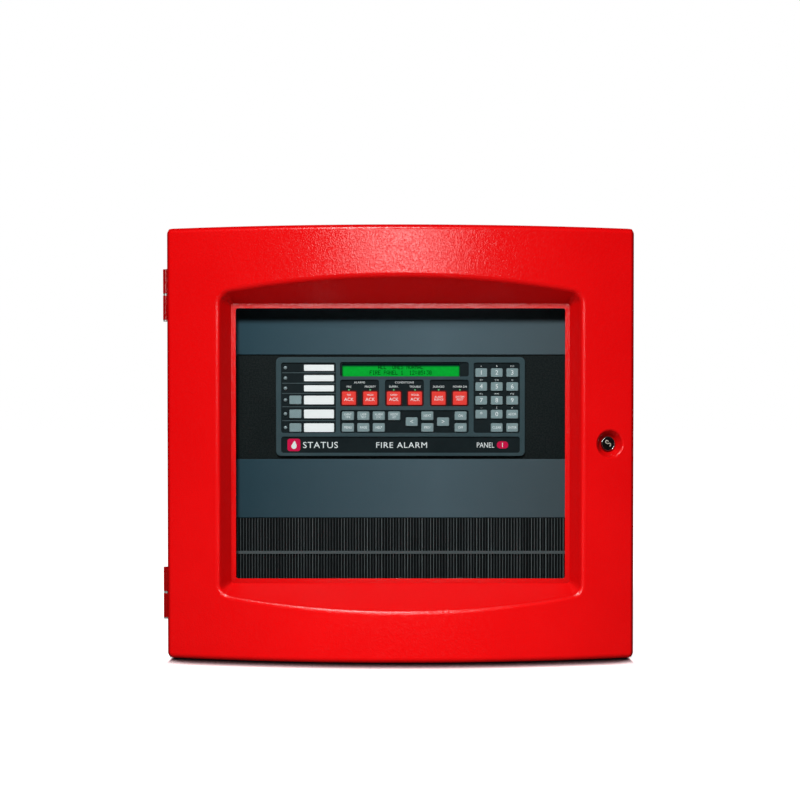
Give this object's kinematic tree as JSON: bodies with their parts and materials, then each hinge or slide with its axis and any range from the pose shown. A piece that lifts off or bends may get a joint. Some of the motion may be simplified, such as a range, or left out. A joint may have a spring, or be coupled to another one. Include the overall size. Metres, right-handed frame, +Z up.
{
  "type": "fire alarm control panel",
  "caption": "Wall-mounted fire alarm control panel: steel box, bowed red door with recessed window and cam lock, inner door with display and keypad.",
  "frame": {"origin": "centre of the back face, which lies on the wall", "axes": "+X to the right seen from the front, +Y into the wall, +Z up; the front faces -Y"},
  "size_m": [0.6169, 0.174, 0.5634],
  "materials": {
    "red_paint": "fine textured red powder coat",
    "black_paint": "satin black powder coat",
    "plated_steel": "bright zinc plate",
    "core_steel": "varnished laminations",
    "window": "clear polycarbonate",
    "lock_chrome": "polished",
    "lock_black": "dark plug face",
    "grey_plastic": "fine matte blue-grey",
    "black_plastic": "ribbed matte black",
    "bezel_plastic": "grey bars on black floors",
    "display": "green character display",
    "circuit_board": "solder mask",
    "card": "white card",
    "battery_case": "matte case",
    "wire": "insulation",
    "red_key": "silicone key",
    "grey_key": "silicone key"
  },
  "bodies": {
    "cabinet": {"back_box": "red_paint", "hinge_pins": "plated_steel", "inner_hinge_brackets": "plated_steel", "chassis_plate": "plated_steel", "control_board": "circuit_board", "power_supply": "circuit_board", "transformer": "core_steel", "batteries": "battery_case", "wiring": "wire", "fasteners": "plated_steel"},
    "door": {"door_shell": "red_paint", "window_pane": "window", "window_retainer": "plated_steel", "lock_barrel": "lock_chrome", "lock_nut": "plated_steel"},
    "lock": {"lock_plug": "lock_black", "lock_cam": "plated_steel"},
    "inner_door": {"inner_door": "black_paint", "trim_plates": "grey_plastic", "rib_panel": "black_plastic", "operator_bezel": "bezel_plastic", "lcd_module": "display", "operator_board": "circuit_board", "label_cards": "card"},
    "key_0": {"key_0": "grey_key"},
    "key_1": {"key_1": "grey_key"},
    "key_2": {"key_2": "grey_key"},
    "key_3": {"key_3": "grey_key"},
    "key_4": {"key_4": "grey_key"},
    "key_5": {"key_5": "grey_key"},
    "key_6": {"key_6": "grey_key"},
    "key_7": {"key_7": "grey_key"},
    "key_8": {"key_8": "grey_key"},
    "key_9": {"key_9": "grey_key"},
    "key_address": {"key_address": "grey_key"},
    "key_clear": {"key_clear": "grey_key"},
    "key_disable": {"key_disable": "grey_key"},
    "key_down": {"key_down": "grey_key"},
    "key_enable": {"key_enable": "grey_key"},
    "key_enter": {"key_enter": "grey_key"},
    "key_fire_ack": {"key_fire_ack": "red_key"},
    "key_function_1": {"key_function_1": "grey_key"},
    "key_function_2": {"key_function_2": "grey_key"},
    "key_function_3": {"key_function_3": "grey_key"},
    "key_function_4": {"key_function_4": "grey_key"},
    "key_function_5": {"key_function_5": "grey_key"},
    "key_function_6": {"key_function_6": "grey_key"},
    "key_function_7": {"key_function_7": "grey_key"},
    "key_left": {"key_left": "grey_key"},
    "key_priority_ack": {"key_priority_ack": "red_key"},
    "key_reset": {"key_reset": "red_key"},
    "key_right": {"key_right": "grey_key"},
    "key_silence": {"key_silence": "red_key"},
    "key_star": {"key_star": "grey_key"},
    "key_supervisory_ack": {"key_supervisory_ack": "red_key"},
    "key_trouble_ack": {"key_trouble_ack": "red_key"},
    "key_up": {"key_up": "grey_key"},
    "key_zone_1": {"key_zone_1": "grey_key"},
    "key_zone_2": {"key_zone_2": "grey_key"},
    "key_zone_3": {"key_zone_3": "grey_key"}
  },
  "joints": [
    {"name": "cam_lock_turn", "type": "hinge", "parent": "door", "child": "lock", "pos_m": [0.2725, -0.1406, 0], "axis": [-0.2415, 0.9704, 0], "range_deg": [0, 90]},
    {"name": "door_swing", "type": "hinge", "parent": "cabinet", "child": "door", "pos_m": [-0.3085, -0.118, 0], "axis": [0, 0, -1], "range_deg": [0, 135]},
    {"name": "inner_door_swing", "type": "hinge", "parent": "cabinet", "child": "inner_door", "pos_m": [-0.279, -0.104, 0], "axis": [0, 0, -1], "range_deg": [0, 94.5]},
    {"name": "key_0_press", "type": "slide", "parent": "inner_door", "child": "key_0", "axis": [0, 1, 0], "range_m": [0, 0.0012], "stiffness_N_per_m": 40},
    {"name": "key_1_press", "type": "slide", "parent": "inner_door", "child": "key_1", "axis": [0, 1, 0], "range_m": [0, 0.0012], "stiffness_N_per_m": 40},
    {"name": "key_2_press", "type": "slide", "parent": "inner_door", "child": "key_2", "axis": [0, 1, 0], "range_m": [0, 0.0012], "stiffness_N_per_m": 40},
    {"name": "key_3_press", "type": "slide", "parent": "inner_door", "child": "key_3", "axis": [0, 1, 0], "range_m": [0, 0.0012], "stiffness_N_per_m": 40},
    {"name": "key_4_press", "type": "slide", "parent": "inner_door", "child": "key_4", "axis": [0, 1, 0], "range_m": [0, 0.0012], "stiffness_N_per_m": 40},
    {"name": "key_5_press", "type": "slide", "parent": "inner_door", "child": "key_5", "axis": [0, 1, 0], "range_m": [0, 0.0012], "stiffness_N_per_m": 40},
    {"name": "key_6_press", "type": "slide", "parent": "inner_door", "child": "key_6", "axis": [0, 1, 0], "range_m": [0, 0.0012], "stiffness_N_per_m": 40},
    {"name": "key_7_press", "type": "slide", "parent": "inner_door", "child": "key_7", "axis": [0, 1, 0], "range_m": [0, 0.0012], "stiffness_N_per_m": 40},
    {"name": "key_8_press", "type": "slide", "parent": "inner_door", "child": "key_8", "axis": [0, 1, 0], "range_m": [0, 0.0012], "stiffness_N_per_m": 40},
    {"name": "key_9_press", "type": "slide", "parent": "inner_door", "child": "key_9", "axis": [0, 1, 0], "range_m": [0, 0.0012], "stiffness_N_per_m": 40},
    {"name": "key_address_press", "type": "slide", "parent": "inner_door", "child": "key_address", "axis": [0, 1, 0], "range_m": [0, 0.0012], "stiffness_N_per_m": 40},
    {"name": "key_clear_press", "type": "slide", "parent": "inner_door", "child": "key_clear", "axis": [0, 1, 0], "range_m": [0, 0.0012], "stiffness_N_per_m": 40},
    {"name": "key_disable_press", "type": "slide", "parent": "inner_door", "child": "key_disable", "axis": [0, 1, 0], "range_m": [0, 0.0012], "stiffness_N_per_m": 40},
    {"name": "key_down_press", "type": "slide", "parent": "inner_door", "child": "key_down", "axis": [0, 1, 0], "range_m": [0, 0.0012], "stiffness_N_per_m": 40},
    {"name": "key_enable_press", "type": "slide", "parent": "inner_door", "child": "key_enable", "axis": [0, 1, 0], "range_m": [0, 0.0012], "stiffness_N_per_m": 40},
    {"name": "key_enter_press", "type": "slide", "parent": "inner_door", "child": "key_enter", "axis": [0, 1, 0], "range_m": [0, 0.0012], "stiffness_N_per_m": 40},
    {"name": "key_fire_ack_press", "type": "slide", "parent": "inner_door", "child": "key_fire_ack", "axis": [0, 1, 0], "range_m": [0, 0.0012], "stiffness_N_per_m": 40},
    {"name": "key_function_1_press", "type": "slide", "parent": "inner_door", "child": "key_function_1", "axis": [0, 1, 0], "range_m": [0, 0.0012], "stiffness_N_per_m": 40},
    {"name": "key_function_2_press", "type": "slide", "parent": "inner_door", "child": "key_function_2", "axis": [0, 1, 0], "range_m": [0, 0.0012], "stiffness_N_per_m": 40},
    {"name": "key_function_3_press", "type": "slide", "parent": "inner_door", "child": "key_function_3", "axis": [0, 1, 0], "range_m": [0, 0.0012], "stiffness_N_per_m": 40},
    {"name": "key_function_4_press", "type": "slide", "parent": "inner_door", "child": "key_function_4", "axis": [0, 1, 0], "range_m": [0, 0.0012], "stiffness_N_per_m": 40},
    {"name": "key_function_5_press", "type": "slide", "parent": "inner_door", "child": "key_function_5", "axis": [0, 1, 0], "range_m": [0, 0.0012], "stiffness_N_per_m": 40},
    {"name": "key_function_6_press", "type": "slide", "parent": "inner_door", "child": "key_function_6", "axis": [0, 1, 0], "range_m": [0, 0.0012], "stiffness_N_per_m": 40},
    {"name": "key_function_7_press", "type": "slide", "parent": "inner_door", "child": "key_function_7", "axis": [0, 1, 0], "range_m": [0, 0.0012], "stiffness_N_per_m": 40},
    {"name": "key_left_press", "type": "slide", "parent": "inner_door", "child": "key_left", "axis": [0, 1, 0], "range_m": [0, 0.0012], "stiffness_N_per_m": 40},
    {"name": "key_priority_ack_press", "type": "slide", "parent": "inner_door", "child": "key_priority_ack", "axis": [0, 1, 0], "range_m": [0, 0.0012], "stiffness_N_per_m": 40},
    {"name": "key_reset_press", "type": "slide", "parent": "inner_door", "child": "key_reset", "axis": [0, 1, 0], "range_m": [0, 0.0012], "stiffness_N_per_m": 40},
    {"name": "key_right_press", "type": "slide", "parent": "inner_door", "child": "key_right", "axis": [0, 1, 0], "range_m": [0, 0.0012], "stiffness_N_per_m": 40},
    {"name": "key_silence_press", "type": "slide", "parent": "inner_door", "child": "key_silence", "axis": [0, 1, 0], "range_m": [0, 0.0012], "stiffness_N_per_m": 40},
    {"name": "key_star_press", "type": "slide", "parent": "inner_door", "child": "key_star", "axis": [0, 1, 0], "range_m": [0, 0.0012], "stiffness_N_per_m": 40},
    {"name": "key_supervisory_ack_press", "type": "slide", "parent": "inner_door", "child": "key_supervisory_ack", "axis": [0, 1, 0], "range_m": [0, 0.0012], "stiffness_N_per_m": 40},
    {"name": "key_trouble_ack_press", "type": "slide", "parent": "inner_door", "child": "key_trouble_ack", "axis": [0, 1, 0], "range_m": [0, 0.0012], "stiffness_N_per_m": 40},
    {"name": "key_up_press", "type": "slide", "parent": "inner_door", "child": "key_up", "axis": [0, 1, 0], "range_m": [0, 0.0012], "stiffness_N_per_m": 40},
    {"name": "key_zone_1_press", "type": "slide", "parent": "inner_door", "child": "key_zone_1", "axis": [0, 1, 0], "range_m": [0, 0.0012], "stiffness_N_per_m": 40},
    {"name": "key_zone_2_press", "type": "slide", "parent": "inner_door", "child": "key_zone_2", "axis": [0, 1, 0], "range_m": [0, 0.0012], "stiffness_N_per_m": 40},
    {"name": "key_zone_3_press", "type": "slide", "parent": "inner_door", "child": "key_zone_3", "axis": [0, 1, 0], "range_m": [0, 0.0012], "stiffness_N_per_m": 40}
  ],
  "couplings": [
    {"joint": "inner_door_swing", "follows": "door_swing", "ratio": 0.7}
  ]
}
